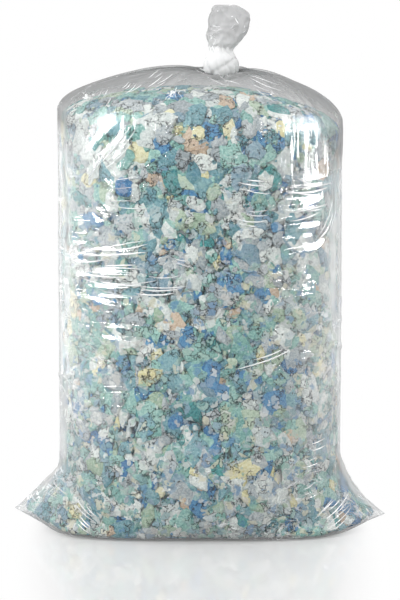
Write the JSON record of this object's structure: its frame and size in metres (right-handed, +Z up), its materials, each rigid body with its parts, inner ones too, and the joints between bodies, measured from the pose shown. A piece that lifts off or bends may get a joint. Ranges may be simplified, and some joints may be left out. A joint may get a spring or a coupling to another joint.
{
  "type": "bag of shredded foam",
  "caption": "Clear film bag standing on its base, packed with shredded memory foam and tied shut with a knot in its own gathered neck.",
  "frame": {"origin": "on the floor under the middle of the bag", "axes": "+Z up, -Y towards the broad front, X along the bottom seam from corner to corner"},
  "size_m": [0.546, 0.2778, 0.762],
  "materials": {
    "clear_film": "clear, thin and glossy",
    "foam": "matt open-cell foam"
  },
  "bodies": {
    "root": {"film_bag": "clear_film", "shredded_foam": "foam"}
  },
  "joints": []
}
